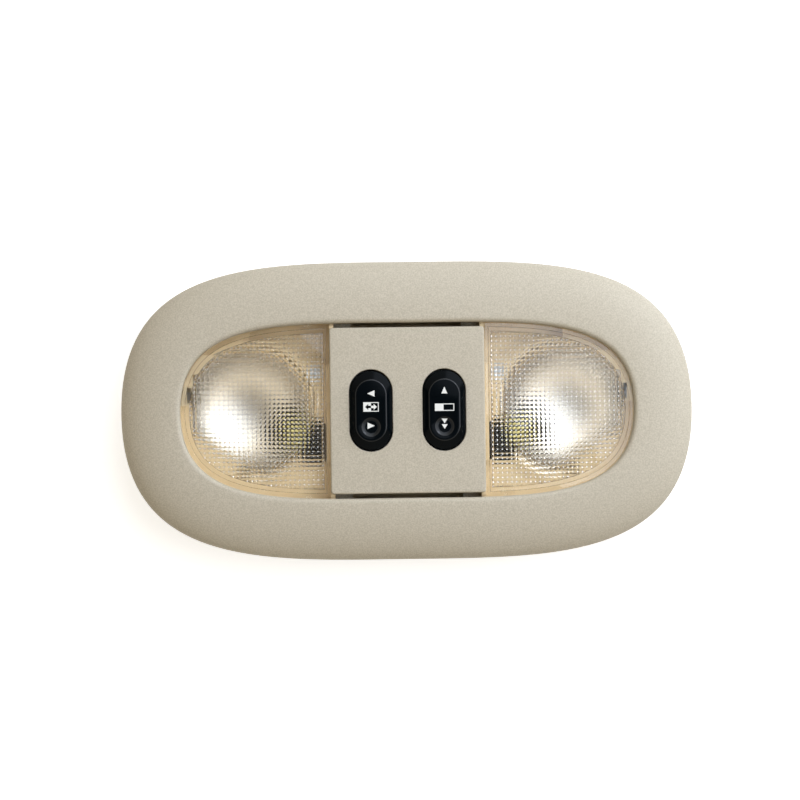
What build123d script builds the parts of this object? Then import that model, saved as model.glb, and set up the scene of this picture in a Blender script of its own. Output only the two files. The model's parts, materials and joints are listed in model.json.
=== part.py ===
from build123d import *
import math
import os

# Overhead dome light of a car, lying on its back with the face up. All sizes are in millimetres.
# The origin is the middle of the plane where the bezel meets the roof lining. +Z points into the cabin,
# +X along the light and +Y across it.

# Bezel: a crowned oval moulding
bezel_half_length = 134.0
bezel_half_width = 69.8
bezel_height = 13.0
rim_height = 3.0
bezel_wall = 2.5
bezel_end_fullness = 1.04
bezel_side_fullness = 0.512
crown_sections = 6
lip_land = 3.5
lip_radius = 2.0
rib_thickness = 1.5
rib_setback = 3.0

# Opening in the bezel, with a collar round it on the back
end_band = 28.0
opening_half_width = 40.9
opening_end_fullness = 1.09
opening_side_fullness = 0.55
collar_wall = 2.5
collar_depth = 4.6

# Lenses: clear push lenses, each pivoted near the switch panel
lens_sink = 1.6
lens_thickness = 2.0
lens_gap = 0.6
flange_width = 4.2
flat_flange_width = 2.3
optic_rise = 0.8
optic_edge_radius = 0.4
bead_rise = 0.4
bead_edge_radius = 0.35
bead_width = 2.0
flat_bead_width = 1.1
flute_pitch = 2.19
flute_depth = 0.6
flute_inset = 0.15
lens_pivot_inset = 9.7
lens_pivot_drop = 5.9
lens_pin_radius = 1.5
lens_pin_engagement = 1.8
pin_clearance = 0.05
ear_width = 6.0
ear_thickness = 1.8
ear_setback = 0.6
finger_thickness = 1.6
finger_width = 7.0
finger_gap = 0.2

# Switch panel between the lenses
panel_width = 72.4
panel_side_gap = 0.5
panel_end_gap = 2.1
panel_sink = 1.4
panel_thickness = 2.0
panel_edge_radius = 0.8
panel_corner_radius = 1.5
window_edge_radius = 0.5
snap_leg_inset = 6.2
snap_leg_width = 8.0
snap_leg_thickness = 1.5
snap_leg_depth = 12.6
snap_barb_height = 2.5
snap_barb_engagement = 1.0
snap_clearance = 0.4
hook_width = 8.0
hook_thickness = 1.5
hook_barb = 1.2
hook_gap = 0.3

# Rocker knobs
rocker_spacing = 34.2
rocker_opening_width = 20.1
rocker_opening_length = 38.3
rocker_side_gap = 0.3
rocker_end_gap = 0.85
rocker_rise = 3.4
rocker_shoulder = 0.5
plateau_width = 14.4
plateau_length = 28.4
plateau_edge_radius = 1.2
rocker_wall = 1.9
rocker_pivot_drop = 6.8
rocker_skirt_drop = 8.6
rocker_pin_radius = 1.5
rocker_pin_engagement = 1.5
dimple_offset = 7.7
dimple_radius = 4.5
dimple_floor_radius = 2.5
dimple_wall_radius = 4.0
leg_offset = 9.0
leg_width = 4.0
leg_thickness = 3.0
leg_drop = 10.4

# Switch bodies, with the parts inside
switch_wall = 2.0
switch_floor = 1.6
board_thickness = 1.6
board_gap = 0.3
mat_thickness = 1.2
dome_base_radius = 4.0
dome_top_radius = 2.2
dome_gap = 0.3
dome_height = 2.1
shroud_width = 18.0
shroud_length = 26.0
shroud_wall = 1.6
shroud_overhang = 1.0
terminal_count = 5
terminal_pitch = 4.2
terminal_width = 2.0
terminal_thickness = 0.8
terminal_length = 6.0
terminal_clearance = 0.1

# Lamp housing: the tray behind the lenses
housing_relief = 0.2
housing_wall = 2.2
floor_depth = 19.0
floor_thickness = 2.0
foot_height = 3.0
partition_wall = 2.0
partition_setback = 1.0
aperture_clearance = 0.3
ledge_thickness = 1.6
ledge_drop = 4.5
cover_reach = 2.2
ledge_bearing = 0.5
ledge_slot_length = 5.5
ledge_slot_width = 3.5
ledge_slot_shift = 2.2
ledge_slot_inset = 29.5

# Screws through the housing's tabs into the bezel
tab_radius = 5.0
tab_thickness = 2.0
tab_level = 5.0
boss_radius = 3.2
screw_radius = 1.25
screw_length = 5.5
screw_head_radius = 3.0
screw_head_height = 2.0
screw_hole_clearance = 0.4
pilot_clearance = 0.05
corner_screw_share = 0.36
recess_width = 0.8
recess_depth = 0.9

# Blades and spring clips that hold the light in the roof
blade_share = 0.68
blade_width = 12.0
blade_thickness = 2.0
blade_depth = 12.0
clip_width = 10.0
clip_thickness = 0.5
clip_gap = 0.1
clip_bulge = 3.0
clip_length = 11.0

# Reflectors: metallised bowls, each with a neck towards the switch panel
bowl_shift = 3.3
bowl_margin = 3.4
bowl_lift = 9.0
reflector_wall = 1.5
reflector_drop = 6.4
reflector_setback = 2.0
neck_top = 22.0
neck_bottom = 24.0
neck_gap = 0.8
bowl_foot_radius = 8.0
bowl_foot_wall = 1.8
finger_notch_depth = 0.8
finger_notch_margin = 1.2
bowl_cut_turn = 32.0
bowl_cut_offset = 21.7
bowl_end_inset = 5.0
bowl_end_top = 15.5

# Screw that holds each reflector's neck
reflector_screw_inset = 6.8
reflector_screw_y = 18.0
post_radius = 3.0
post_clearance = 0.3

# Bulbs and holders, turned towards the middle of the bowl
bulb_turn = 25.0
bulb_stand = 12.0
bulb_radius = 5.0
bulb_glass_length = 16.0
bulb_neck_radius = 4.0
bulb_neck_length = 4.0
wedge_width = 9.0
wedge_thickness = 2.4
wedge_length = 6.0
wedge_clearance = 0.2
holder_radius = 9.8
holder_lift = 2.2
holder_setback = 1.15
holder_length = 11.0
holder_cup_radius = 8.0
holder_clearance = 0.1
trough_reach = 6.0
trough_wall = 1.4
contact_setback = 6.0

# Push switches under the lens fingers
push_inset = 4.2
push_y = 8.0
push_width = 8.0
push_length = 8.0
push_height = 6.5
push_floor = 1.0
plunger_radius = 1.8
plunger_rise = 2.8
plunger_length = 4.8
plunger_clearance = 0.06
spring_wire = 0.4
spring_radius = 1.6
spring_turns = 3

# Lamp connector and the stamped brass strips
connector_width = 22.0
connector_length = 11.0
connector_height = 13.0
connector_wall = 1.6
pin_pitch = 6.0
pin_length = 6.0
strip_width = 2.0
strip_thickness = 0.8
strip_riser_gap = 0.2
feed_lane_drop = 2.6
ground_lane_gap = 2.7
lamp_lane = 10.0

# Levels and places that follow from the sizes above
bezel_fullness = (bezel_end_fullness, bezel_side_fullness)
opening_fullness = (opening_end_fullness, opening_side_fullness)
band_fullness = tuple((b + o) / 2 for b, o in zip(bezel_fullness, opening_fullness))
opening_half_length = bezel_half_length - end_band
collar_bottom = bezel_height - collar_depth
lens_top = bezel_height - lens_sink
lens_bottom = lens_top - lens_thickness
lens_pivot_z = lens_top - lens_pivot_drop
panel_top = bezel_height - panel_sink
panel_bottom = panel_top - panel_thickness
panel_half_width = panel_width / 2
panel_half_length = opening_half_width - panel_end_gap
lens_edge = panel_half_width + panel_side_gap
lens_pivot_x = lens_edge + lens_pivot_inset
floor_top = -floor_depth
floor_bottom = floor_top - floor_thickness
foot_bottom = floor_bottom - foot_height
rocker_x = rocker_spacing / 2
rocker_pivot_z = panel_top - rocker_pivot_drop
rocker_skirt_z = panel_top - rocker_skirt_drop
shoulder_z = panel_top + rocker_shoulder
leg_bottom = panel_top - leg_drop
mat_top = leg_bottom - dome_gap - dome_height
board_top = mat_top - mat_thickness
board_bottom = board_top - board_thickness
switch_bottom = board_bottom - switch_floor
switch_half_width = rocker_opening_width / 2 + switch_wall
switch_half_length = rocker_opening_length / 2 + switch_wall
shroud_mouth = floor_bottom - shroud_overhang
partition_outer = panel_half_width
partition_inner = partition_outer - partition_wall
bay_half_length = (opening_half_length - partition_outer) / 2
rim_z = lens_bottom - reflector_drop
bowl_x = partition_outer + bay_half_length + bowl_shift
bowl_radius = bay_half_length - bowl_margin
bowl_depth = rim_z - floor_top - bowl_lift
bowl_sphere = (bowl_radius ** 2 + bowl_depth ** 2) / (2 * bowl_depth)
bowl_center_z = rim_z - bowl_depth + bowl_sphere
reflector_screw_x = partition_outer + reflector_screw_inset
bulb_z = floor_top + holder_lift + holder_radius
holder_end = (bowl_x - partition_outer) / math.cos(math.radians(bulb_turn)) - holder_setback
holder_front = holder_end - holder_length
bulb_tip = holder_front - bulb_stand
trough_front = bulb_tip - trough_reach
push_x = opening_half_length - push_inset
bowl_end_x = opening_half_length - bowl_end_inset
push_top = floor_top + push_height
plunger_top = push_top + plunger_rise
plunger_bottom = plunger_top - plunger_length
finger_bottom = plunger_top + finger_gap
tab_top = tab_level
tab_bottom = tab_top - tab_thickness
hook_outer = switch_half_length + hook_gap + hook_thickness
connector_y = -(hook_outer + opening_half_width + housing_relief) / 2
connector_top = floor_bottom - shroud_overhang + connector_height
strip_bottom = floor_bottom - strip_thickness
ground_lane = shroud_length / 2 + aperture_clearance + ground_lane_gap
through = bezel_half_length * 2


def block(x_range, y_range, z_range):
    size = [high - low for low, high in (x_range, y_range, z_range)]
    middle = [(high + low) / 2 for low, high in (x_range, y_range, z_range)]
    return Pos(*middle) * Box(*size)


def around(middle, width):
    return (middle - width / 2, middle + width / 2)


def quarter(half_length, half_width, fullness):
    end, side = fullness
    return [
        (half_length, 0),
        (half_length, end * half_width),
        (side * half_length, half_width),
        (0, half_width),
    ]


def oval(half_length, half_width, fullness):
    edges = []
    for sign_x, sign_y in ((1, 1), (-1, 1), (-1, -1), (1, -1)):
        points = [(sign_x * x, sign_y * y) for x, y in quarter(half_length, half_width, fullness)]
        if sign_x * sign_y < 0:
            points.reverse()
        edges.append(Edge.make_bezier(*points))
    return Face(Wire(edges))


def oval_point(half_length, half_width, fullness, share):
    spine = Edge.make_bezier(*quarter(half_length, half_width, fullness))
    point = spine.position_at(share, position_mode=PositionMode.PARAMETER)
    return (point.X, point.Y)


def prism(face, bottom, top):
    return extrude(Pos(0, 0, bottom) * face, top - bottom, dir=(0, 0, 1))


def opening_oval(grow):
    return oval(opening_half_length + grow, opening_half_width + grow, opening_fullness)


def band_point(share):
    half_length = (bezel_half_length + opening_half_length) / 2
    half_width = (bezel_half_width + opening_half_width) / 2
    return oval_point(half_length, half_width, band_fullness, share)


def housing_point(share):
    grow = housing_relief + housing_wall / 2
    return oval_point(opening_half_length + grow, opening_half_width + grow, opening_fullness, share)


def four_ways(point):
    x, y = point
    return [(sign_x * x, sign_y * y) for sign_x in (-1, 1) for sign_y in (-1, 1)]


def screw_places():
    top = band_point(1)
    return four_ways(band_point(corner_screw_share)) + [top, (top[0], -top[1])]


def tab_roots():
    top = housing_point(1)
    return four_ways(housing_point(corner_screw_share)) + [top, (top[0], -top[1])]


def upright(x, y, radius, bottom, top):
    return Pos(x, y, (bottom + top) / 2) * Cylinder(radius, top - bottom)


def along_x(radius, start, end):
    return Pos((start + end) / 2, 0, 0) * Rot(0, 90, 0) * Cylinder(radius, end - start)


def along_y(radius, start, end):
    return Pos(0, (start + end) / 2, 0) * Rot(90, 0, 0) * Cylinder(radius, end - start)


def mirrored(shape):
    return mirror(shape, about=Plane.YZ)


# The solid under a crown: a straight rim, then a quarter of an ellipse up to the land round the opening
def crown(inset, land, top):
    half_length = bezel_half_length - inset
    half_width = bezel_half_width - inset
    sections = []
    for step in range(crown_sections + 1):
        turn = math.radians(90 * step / crown_sections)
        share = 1 - math.cos(turn)
        fullness = tuple(b + share * (o - b) for b, o in zip(bezel_fullness, opening_fullness))
        outline = oval(
            half_length + share * (opening_half_length + land - half_length),
            half_width + share * (opening_half_width + land - half_width),
            fullness,
        )
        sections.append(Pos(0, 0, rim_height + (top - rim_height) * math.sin(turn)) * outline)
    rim = prism(oval(half_length, half_width, bezel_fullness), 0, rim_height)
    return rim + loft(sections)


def bezel():
    skin = crown(0, lip_land, bezel_height)
    shell = skin - crown(bezel_wall, collar_wall, bezel_height - bezel_wall)
    shell += prism(opening_oval(collar_wall), collar_bottom, bezel_height - bezel_wall / 2)
    # bosses for the housing's screws, ribs and the blades for the spring clips, all kept under the crown
    backs = [upright(x, y, boss_radius, tab_top, bezel_height) for x, y in screw_places()]
    blade_x, blade_y = band_point(blade_share)
    for x, y in four_ways((blade_x, blade_y)):
        backs.append(block(around(x, blade_width), around(y, blade_thickness), (0, bezel_height)))
    for side in (-1, 1):
        rib_x = around(side * panel_half_width, rib_thickness)
        backs.append(block(rib_x, (-bezel_half_width, bezel_half_width), (rib_setback, bezel_height)))
        rib_y = around(side * opening_half_width / 2, rib_thickness)
        backs.append(block((-bezel_half_length, bezel_half_length), rib_y, (rib_setback, bezel_height)))
    hollow = prism(opening_oval(collar_wall / 2), 0, bezel_height)
    clear = prism(opening_oval(housing_relief + housing_wall + hook_gap), 0, collar_bottom)
    for back in backs:
        shell += (back & skin) - hollow - clear
    for x, y in four_ways((blade_x, blade_y)):
        shell += block(around(x, blade_width), around(y, blade_thickness), (-blade_depth, bezel_wall))
    shell -= prism(opening_oval(0), 0, bezel_height)
    for x, y in screw_places():
        pilot = screw_radius + pilot_clearance
        shell -= upright(x, y, pilot, tab_top, tab_top + screw_length)
    lip = shell.edges().filter_by_position(Axis.Z, bezel_height - 0.01, bezel_height + 0.01)
    return fillet(lip.sort_by(SortBy.LENGTH)[:4], lip_radius)


def left_of(edge):
    return block((-through, -edge), (-through, through), (-through, through))


# The lens's underside is fluted: rows of shallow ridges that spread the light
def flutes():
    rows = math.ceil(opening_half_width / flute_pitch)
    ridge = lens_bottom + flute_inset
    points = []
    for row in range(-rows, rows):
        points.append((row * flute_pitch, ridge))
        points.append(((row + 0.5) * flute_pitch, ridge + flute_depth))
    points.append((rows * flute_pitch, ridge))
    points.append((rows * flute_pitch, lens_bottom - flute_depth))
    points.append((-rows * flute_pitch, lens_bottom - flute_depth))
    profile = Plane.YZ * make_face(Polyline(*points, close=True))
    return extrude(profile, opening_half_length, dir=(-1, 0, 0))


def left_lens():
    flange = prism(opening_oval(-lens_gap), lens_bottom, lens_top) & left_of(lens_edge)
    field = prism(opening_oval(-flange_width), lens_bottom, lens_top + optic_rise)
    field = field & left_of(lens_edge + flat_flange_width)
    crest = field.edges().filter_by_position(
        Axis.Z, lens_top + optic_rise - 0.01, lens_top + optic_rise + 0.01
    )
    bead = prism(opening_oval(bead_width - flange_width), lens_bottom, lens_top + bead_rise)
    bead = bead & left_of(lens_edge + flat_flange_width - flat_bead_width)
    ridge = bead.edges().filter_by_position(
        Axis.Z, lens_top + bead_rise - 0.01, lens_top + bead_rise + 0.01
    )
    lens = flange + fillet(crest, optic_edge_radius) + fillet(ridge, bead_edge_radius)
    lens -= flutes() & field
    # ears with the pivot pins, one on each long side
    flange_y = oval_reach(opening_half_width - lens_gap)
    ear_outer = flange_y - ear_setback
    pin_end = oval_reach(opening_half_width + housing_relief) + lens_pin_engagement
    for side in (-1, 1):
        ear_y = sorted((side * (ear_outer - ear_thickness), side * ear_outer))
        ear_z = (lens_pivot_z - lens_pin_radius - ear_thickness, lens_bottom)
        lens += block(around(-lens_pivot_x, ear_width), ear_y, ear_z)
        lens += Pos(-lens_pivot_x, 0, lens_pivot_z) * along_y(
            lens_pin_radius, *sorted((side * (ear_outer - ear_thickness), side * pin_end))
        )
    # finger that reaches down to the push switch
    finger_place = (around(-push_x, finger_thickness), around(push_y, finger_width))
    lens += block(*finger_place, (finger_bottom, lens_top))
    return lens


# Half-width of an oval like the opening at the lens pivots, for an oval of this half-width
def oval_reach(half_width):
    grow = half_width - opening_half_width
    spine = Edge.make_bezier(*quarter(opening_half_length + grow, half_width, opening_fullness))
    cut = Edge.make_line((lens_pivot_x, 0), (lens_pivot_x, 2 * half_width))
    return spine.intersect(cut).vertices()[0].Y


def rocker_outline(width, length):
    return SlotOverall(length, width, rotation=90)


# A fingertip dish: a flat floor with a rounded wall
def dimple():
    span = dimple_radius - dimple_floor_radius
    rise = dimple_wall_radius - math.sqrt(dimple_wall_radius ** 2 - span ** 2 / 4)
    depth = dimple_wall_radius - math.sqrt(dimple_wall_radius ** 2 - span ** 2)
    corner = (dimple_floor_radius, -depth)
    profile = Curve() + [
        ThreePointArc(corner, (dimple_floor_radius + span / 2, rise - depth), (dimple_radius, 0)),
        Polyline((dimple_radius, 0), (dimple_radius, depth), (0, depth), (0, -depth), corner),
    ]
    return revolve(Plane.XZ * make_face(profile), Axis.Z)


def rocker(x):
    width = rocker_opening_width - 2 * rocker_side_gap
    length = rocker_opening_length - 2 * rocker_end_gap
    top = panel_top + rocker_rise
    knob = prism(rocker_outline(width, length), rocker_skirt_z, shoulder_z)
    cap = loft(
        [
            Pos(0, 0, shoulder_z) * rocker_outline(width, length),
            Pos(0, 0, top) * rocker_outline(plateau_width, plateau_length),
        ],
        ruled=True,
    )
    ridge = cap.edges().filter_by_position(Axis.Z, top - 0.01, top + 0.01)
    knob += fillet(ridge, plateau_edge_radius)
    pin_end = rocker_opening_width / 2 + rocker_pin_engagement
    knob += Pos(0, 0, rocker_pivot_z) * along_x(rocker_pin_radius, -pin_end, pin_end)
    inside = rocker_outline(width - 2 * rocker_wall, length - 2 * rocker_wall)
    knob -= prism(inside, rocker_skirt_z, shoulder_z)
    knob -= Pos(0, -dimple_offset, top) * dimple()
    for side in (-1, 1):
        knob += block(
            around(0, leg_width), around(side * leg_offset, leg_thickness), (leg_bottom, shoulder_z)
        )
    return Pos(x, 0, 0) * knob


def terminal_places():
    middle = (terminal_count - 1) / 2
    return [(row - middle) * terminal_pitch for row in range(terminal_count)]


def terminals(x):
    tip = switch_bottom - terminal_length
    blades = [
        block(around(0, terminal_thickness), around(y, terminal_width), (tip, board_top))
        for y in terminal_places()
    ]
    return Pos(x, 0, 0) * Compound(children=[blade.solid() for blade in blades])


def terminal_slots(bottom, top):
    slots = Part()
    for y in terminal_places():
        slots += block(
            around(0, terminal_thickness + 2 * terminal_clearance),
            around(y, terminal_width + 2 * terminal_clearance),
            (bottom, top),
        )
    return slots


def switch_body(x):
    outline = RectangleRounded(2 * switch_half_width, 2 * switch_half_length, switch_wall)
    case = prism(outline, switch_bottom, panel_bottom)
    case -= prism(Rectangle(rocker_opening_width, rocker_opening_length), board_bottom, panel_bottom)
    case += prism(RectangleRounded(shroud_width, shroud_length, shroud_wall), shroud_mouth, switch_bottom)
    case -= prism(
        Rectangle(shroud_width - 2 * shroud_wall, shroud_length - 2 * shroud_wall),
        shroud_mouth,
        switch_bottom,
    )
    reach = switch_half_width + rocker_side_gap
    case -= Pos(0, 0, rocker_pivot_z) * along_x(rocker_pin_radius + pin_clearance, -reach, reach)
    case -= terminal_slots(switch_bottom, board_bottom)
    return Pos(x, 0, 0) * case


def circuit_board(x):
    outline = Rectangle(rocker_opening_width - 2 * board_gap, rocker_opening_length - 2 * board_gap)
    board = prism(outline, board_bottom, board_top) - terminal_slots(board_bottom, board_top)
    return Pos(x, 0, 0) * board


def dome_mat(x):
    outline = Rectangle(rocker_opening_width - 2 * board_gap, rocker_opening_length - 2 * board_gap)
    mat = prism(outline, board_top, mat_top)
    for side in (-1, 1):
        dome = Cone(dome_base_radius, dome_top_radius, dome_height)
        mat += Pos(0, side * leg_offset, mat_top + dome_height / 2) * dome
    return Pos(x, 0, 0) * mat


def switch_panel():
    plate = prism(
        RectangleRounded(panel_width, 2 * panel_half_length, panel_corner_radius), panel_bottom, panel_top
    )
    edge = plate.edges().filter_by_position(Axis.Z, panel_top - 0.01, panel_top + 0.01)
    plate = fillet(edge, panel_edge_radius)
    for side in (-1, 1):
        window = rocker_outline(rocker_opening_width, rocker_opening_length)
        plate -= Pos(side * rocker_x, 0, 0) * prism(window, panel_bottom, panel_top)
    reach_x, reach_y = rocker_spacing, rocker_opening_length / 2 + 0.01
    rims = plate.edges().filter_by_position(Axis.Z, panel_top - 0.01, panel_top + 0.01)
    rims = rims.filter_by_position(Axis.X, -reach_x, reach_x).filter_by_position(Axis.Y, -reach_y, reach_y)
    plate = fillet(rims, window_edge_radius)
    # hooks that hold the switch bodies against the back of the plate
    hook_inner = hook_outer - hook_thickness
    hook_bottom = switch_bottom - hook_gap - hook_barb
    for side_x in (-1, 1):
        for side_y in (-1, 1):
            hook_x = around(side_x * rocker_x, hook_width)
            arm_y = sorted((side_y * hook_inner, side_y * hook_outer))
            barb_y = sorted((side_y * (hook_inner - hook_barb), side_y * hook_outer))
            plate += block(hook_x, arm_y, (hook_bottom, panel_bottom))
            plate += block(hook_x, barb_y, (hook_bottom, hook_bottom + hook_barb))
    return plate + snap_legs(0)


# Legs near the panel's corners, whose barbs catch in windows of the housing's wall
def snap_legs(grow):
    legs = Part()
    leg_x = panel_half_width - snap_leg_inset
    inner = panel_half_length - panel_corner_radius - snap_leg_thickness
    barb_tip = opening_half_width + housing_relief + snap_barb_engagement
    bottom = panel_bottom - snap_leg_depth
    for side_x in (-1, 1):
        for side_y in (-1, 1):
            width = around(side_x * leg_x, snap_leg_width + 2 * grow)
            leg_y = sorted((side_y * (inner - grow), side_y * (inner + snap_leg_thickness + grow)))
            barb_y = sorted((side_y * (inner - grow), side_y * (barb_tip + grow)))
            legs += block(width, leg_y, (bottom - grow, panel_bottom))
            legs += block(width, barb_y, (bottom - grow, bottom + snap_barb_height + grow))
    return legs


def bulb_frame():
    return Pos(-bowl_x, 0, bulb_z) * Rot(0, 0, -bulb_turn)


def left_bulb():
    shoulder = bulb_tip + bulb_radius
    end = bulb_tip + bulb_glass_length
    lean = math.sqrt(0.5)
    profile = Curve() + [
        ThreePointArc(
            (bulb_tip, 0), (shoulder - bulb_radius * lean, bulb_radius * lean), (shoulder, bulb_radius)
        ),
        Polyline(
            (shoulder, bulb_radius),
            (end - bulb_neck_length, bulb_radius),
            (end, bulb_neck_radius),
            (end, 0),
            (bulb_tip, 0),
        ),
    ]
    glass = revolve(make_face(profile), Axis.X)
    wedge = block((end, end + wedge_length), around(0, wedge_width), around(0, wedge_thickness))
    return bulb_frame() * (glass + wedge)


# The holder goes on in a trough under the bulb, which ends at the face of the bowl
def left_bulb_holder():
    glass_end = bulb_tip + bulb_glass_length
    trough = along_x(holder_radius, trough_front, holder_front)
    trough -= along_x(holder_radius - trough_wall, trough_front + trough_wall, holder_front)
    trough -= bulb_frame().inverse() * bowl_ball(0)
    body = along_x(holder_radius, holder_front, holder_end) + trough
    body -= along_x(holder_cup_radius, holder_front, glass_end)
    slot_end = glass_end + wedge_length + wedge_clearance
    body -= block(
        (glass_end, slot_end),
        around(0, wedge_width + 2 * wedge_clearance),
        around(0, wedge_thickness + 2 * wedge_clearance),
    )
    return bulb_frame() * body


def bowl_ball(grow):
    return Pos(-bowl_x, 0, bowl_center_z) * Sphere(bowl_sphere + grow)


def reflector_outline():
    bay = opening_oval(housing_relief - reflector_setback)
    return prism(bay, floor_top, rim_z) & left_of(partition_outer + neck_gap)


def finger_notch():
    return block(
        (-through, -(push_x - finger_thickness / 2 - finger_notch_depth)),
        around(push_y, finger_width + 2 * finger_notch_margin),
        (floor_top, rim_z),
    )


# The outer lower side of the bowl, which is cut off straight
def bowl_cut(gap):
    beyond = block((bowl_cut_offset + gap, through), (-through, through), (floor_top, rim_z))
    return Pos(-bowl_x, 0, 0) * Rot(0, 0, -90 - bowl_cut_turn) * beyond


# The outer end of the bowl, which stops short of the lens's finger
def bowl_end(gap):
    return block((-through, -(bowl_end_x + gap)), (-through, bowl_end_top - gap), (floor_top, rim_z))


def left_reflector():
    below = block((-through, 0), (-through, through), (floor_top, rim_z))
    flange_bottom = rim_z - reflector_wall
    neck = block((-bowl_x, -partition_outer), (-neck_bottom, neck_top), (flange_bottom, rim_z))
    shape = bowl_ball(reflector_wall) & below
    shape += upright(-bowl_x, 0, bowl_radius + reflector_wall, flange_bottom, rim_z)
    shape += neck
    bowl_bottom = rim_z - bowl_depth
    foot = upright(-bowl_x, 0, bowl_foot_radius, floor_top, bowl_bottom)
    shape += foot - upright(-bowl_x, 0, bowl_foot_radius - bowl_foot_wall, floor_top, bowl_bottom)
    shape -= bowl_ball(0)
    # the holder and bulb reach into the bowl through a slot that is open at the top
    slot_radius = holder_radius + holder_clearance
    slot_front = trough_front - holder_clearance
    slot = along_x(slot_radius, slot_front, through)
    slot += block((holder_front, through), around(0, 2 * slot_radius), (0, through))
    shape -= bulb_frame() * slot
    shape -= finger_notch()
    shape -= bowl_cut(0)
    shape -= bowl_end(0)
    hole_radius = screw_radius + screw_hole_clearance
    shape -= upright(-reflector_screw_x, reflector_screw_y, hole_radius, floor_top, rim_z)
    post_room = post_radius + post_clearance
    shape -= upright(-reflector_screw_x, reflector_screw_y, post_room, floor_top, flange_bottom)
    shape = shape & reflector_outline()
    return shape.solids().sort_by(SortBy.VOLUME)[-1]


def housing_tabs():
    tabs = Part()
    for place, root in zip(screw_places(), tab_roots()):
        ends = [Pos(*place) * Circle(tab_radius), Pos(*root) * Circle(tab_radius)]
        hull = make_hull([edge for end in ends for edge in end.edges()])
        tabs += prism(hull, tab_bottom, tab_top)
    return tabs


# Ledge round the left bay: it carries the rim and neck of the reflector and fills in where the bowl is cut
def left_ledge():
    top = rim_z - reflector_wall
    bottom = top - ledge_thickness
    shelf = prism(opening_oval(housing_relief), bottom, top) & left_of(partition_outer)
    bowl = upright(-bowl_x, 0, bowl_radius + reflector_wall - ledge_bearing, bottom, top)
    shelf -= bowl - bowl_cut(post_clearance) - bowl_end(post_clearance)
    shelf -= block(
        (-bowl_x, -partition_outer), (ledge_bearing - neck_bottom, neck_top - ledge_bearing), (bottom, top)
    )
    shelf -= finger_notch()
    shelf -= bulb_frame() * along_x(holder_radius + aperture_clearance, 0, through)
    slot_x = around(-bowl_x - ledge_slot_shift, ledge_slot_length)
    shelf -= block(slot_x, around(-ledge_slot_inset, ledge_slot_width), (bottom, top))
    # the upper inner corner lies lower, down the side of the bowl
    corner_y = neck_top - ledge_bearing
    corner = block((-bowl_x, -partition_outer), (corner_y, through), (bottom - ledge_drop, top))
    lower = Pos(0, 0, -ledge_drop) * (shelf & corner)
    step = block(around(-bowl_x, ledge_thickness), (corner_y, through), (bottom - ledge_drop, top))
    step = step & prism(opening_oval(housing_relief), bottom - ledge_drop, top)
    step -= upright(-bowl_x, 0, bowl_radius + reflector_wall - ledge_bearing, bottom - ledge_drop, top)
    # a lip over the holder and the neck, along the partition
    lip_bottom = bulb_z + holder_radius + aperture_clearance
    lip = block(
        (-(partition_outer + cover_reach), -partition_outer),
        (-neck_bottom, neck_top),
        (lip_bottom, lip_bottom + ledge_thickness),
    )
    return (shelf - corner) + lower + step + lip


def lamp_housing():
    outer = housing_relief + housing_wall
    tray = prism(opening_oval(outer), foot_bottom, collar_bottom) + housing_tabs()
    tray -= prism(opening_oval(housing_relief), floor_top, collar_bottom)
    tray -= prism(opening_oval(housing_relief), foot_bottom, floor_bottom)
    bay = prism(opening_oval(-partition_setback), floor_top, panel_bottom)
    bay += prism(opening_oval(housing_relief), floor_top, collar_bottom)
    for side in (-1, 1):
        wall_x = sorted((side * partition_inner, side * partition_outer))
        tray += block(wall_x, (-through, through), (floor_top, panel_bottom)) & bay
        post_top = rim_z - reflector_wall
        tray += upright(side * reflector_screw_x, reflector_screw_y, post_radius, floor_top, post_top)
    tray += left_ledge()
    tray += mirrored(left_ledge())
    for x, y in screw_places():
        tray -= upright(x, y, screw_radius + screw_hole_clearance, tab_bottom, tab_top)
    for side in (-1, 1):
        pilot = screw_radius + pilot_clearance
        tray -= upright(
            side * reflector_screw_x, reflector_screw_y, pilot, rim_z - reflector_wall - screw_length, rim_z
        )
        # pivot bores for the lens pins
        bore = along_y(lens_pin_radius + pin_clearance, -through, through)
        tray -= Pos(side * lens_pivot_x, 0, lens_pivot_z) * bore
        # floor apertures for the plug shrouds of the switches
        aperture = Rectangle(shroud_width + 2 * aperture_clearance, shroud_length + 2 * aperture_clearance)
        tray -= Pos(side * rocker_x, 0, 0) * prism(aperture, floor_bottom, floor_top)
    plug = Rectangle(connector_width + 2 * aperture_clearance, connector_length + 2 * aperture_clearance)
    tray -= Pos(0, connector_y, 0) * prism(plug, floor_bottom, floor_top)
    holder_way = bulb_frame() * along_x(holder_radius + aperture_clearance, holder_front, through / 2)
    near = block((-partition_outer, 0), (-through, through), (floor_top, panel_bottom))
    tray -= holder_way & near
    tray -= mirrored(holder_way & near)
    tray -= snap_legs(snap_clearance)
    for tab in strip_risers(terminal_clearance):
        tray -= tab
    return tray


def left_push_switch():
    push_place = (around(-push_x + push_offset(), push_width), around(push_y, push_length))
    body = block(*push_place, (floor_top, push_top))
    return body - upright(
        -push_x, push_y, plunger_radius + plunger_clearance, floor_top + push_floor, push_top
    )


# The plunger stands off the middle of its switch, towards the housing's wall
def push_offset():
    return push_width / 2 - plunger_radius - push_floor


def left_push_plunger():
    plunger = upright(-push_x, push_y, plunger_radius, plunger_bottom, plunger_top)
    return plunger


def left_plunger_spring():
    low = floor_top + push_floor + spring_wire / 2
    high = plunger_bottom - spring_wire / 2
    path = Helix((high - low) / spring_turns, high - low, spring_radius)
    section = Plane(origin=path @ 0, z_dir=path % 0) * Rectangle(spring_wire, spring_wire)
    return Pos(-push_x, push_y, low) * sweep(section, path, is_frenet=True)


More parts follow.
